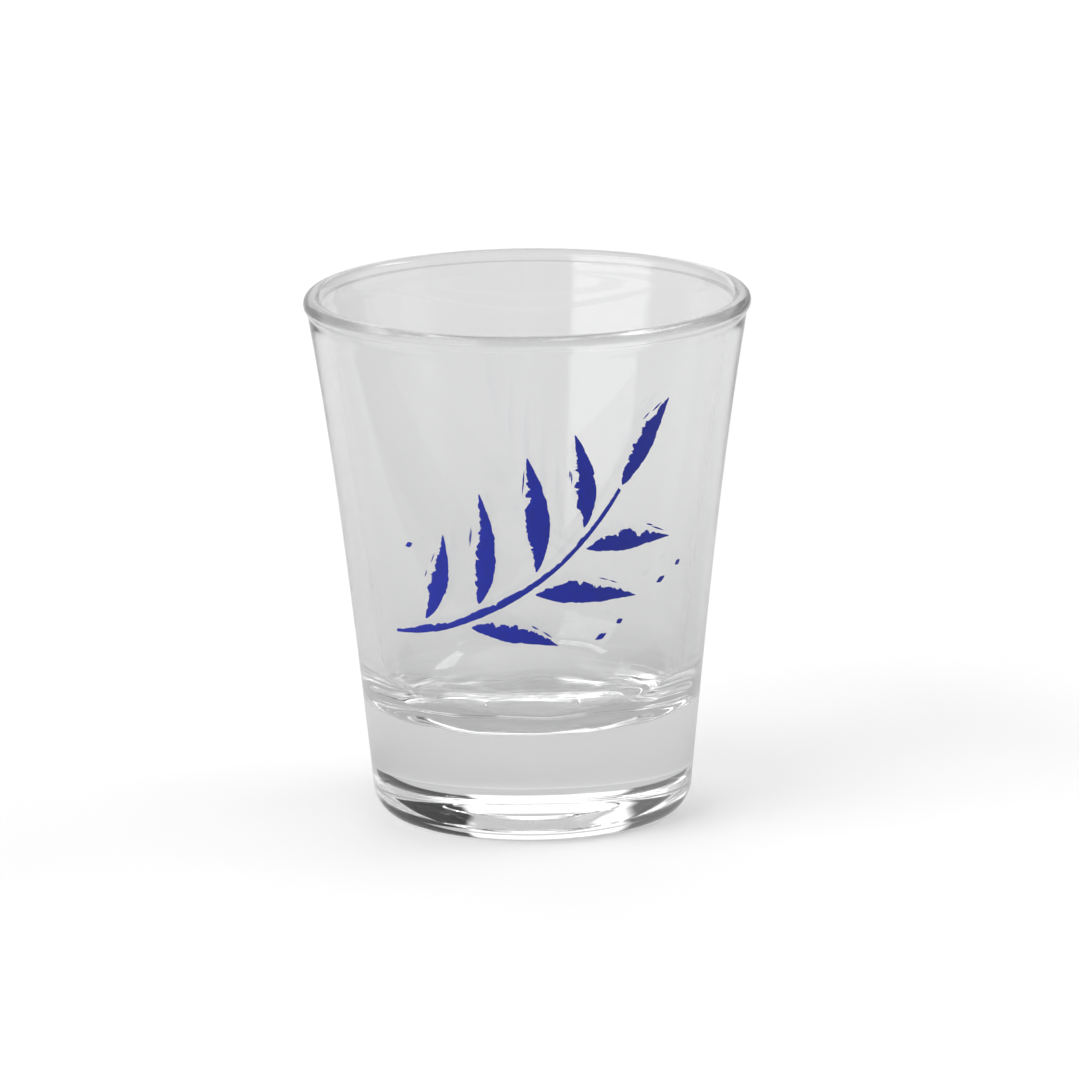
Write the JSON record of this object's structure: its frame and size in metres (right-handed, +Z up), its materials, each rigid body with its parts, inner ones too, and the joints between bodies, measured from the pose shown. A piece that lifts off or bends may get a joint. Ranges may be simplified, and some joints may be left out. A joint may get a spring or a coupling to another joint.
{
  "type": "shot glass",
  "caption": "Small tapered tumbler of clear pressed glass with a thick base, a beaded rim and a brush-painted leafy sprig fired on to the wall.",
  "frame": {"origin": "on the glass's own axis, in the plane of the flat ring it stands on", "axes": "+Z up along the axis towards the open rim; the middle of the print faces -Y"},
  "size_m": [0.051, 0.051, 0.0603],
  "materials": {
    "clear_glass": "fire-polished clear soda-lime glass, faint mould ripple",
    "blue_enamel": "fired ultramarine enamel, semi-gloss, dry-brush edges"
  },
  "bodies": {
    "root": {"glass_body": "clear_glass", "print_stem": "blue_enamel", "print_leaf_1_left": "blue_enamel", "print_leaf_1_right": "blue_enamel", "print_leaf_2_left": "blue_enamel", "print_leaf_2_right": "blue_enamel", "print_leaf_3_left": "blue_enamel", "print_leaf_3_right": "blue_enamel", "print_leaf_4_left": "blue_enamel", "print_leaf_top": "blue_enamel", "print_speck_1": "blue_enamel", "print_speck_2": "blue_enamel", "print_speck_3": "blue_enamel", "print_speck_4": "blue_enamel", "print_speck_5": "blue_enamel"}
  },
  "joints": []
}
